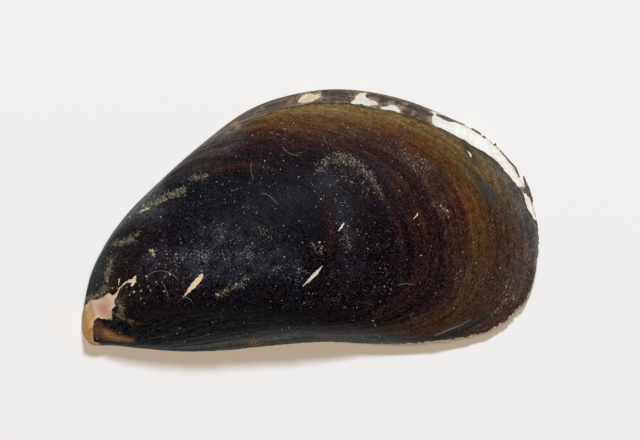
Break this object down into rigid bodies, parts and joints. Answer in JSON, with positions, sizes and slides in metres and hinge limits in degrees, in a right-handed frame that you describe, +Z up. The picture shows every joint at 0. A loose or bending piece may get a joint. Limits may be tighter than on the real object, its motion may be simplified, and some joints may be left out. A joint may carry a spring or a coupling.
{
  "type": "mussel shell",
  "caption": "Wedge-shaped valve of a mussel, a hollow bowl with a pointed beak, a steep lower flank and ledges along its growth lines, lying on its rim.",
  "frame": {"origin": "centre of the valve's outline, on the plane that its rim rests on", "axes": "+X from the beak to the rounded rear end, +Y to the hinge side, +Z up through the outside of the valve"},
  "size_m": [0.061, 0.0352, 0.0123],
  "materials": {
    "shell_skin": "satin"
  },
  "bodies": {
    "root": {"left_valve": "shell_skin"}
  },
  "joints": []
}
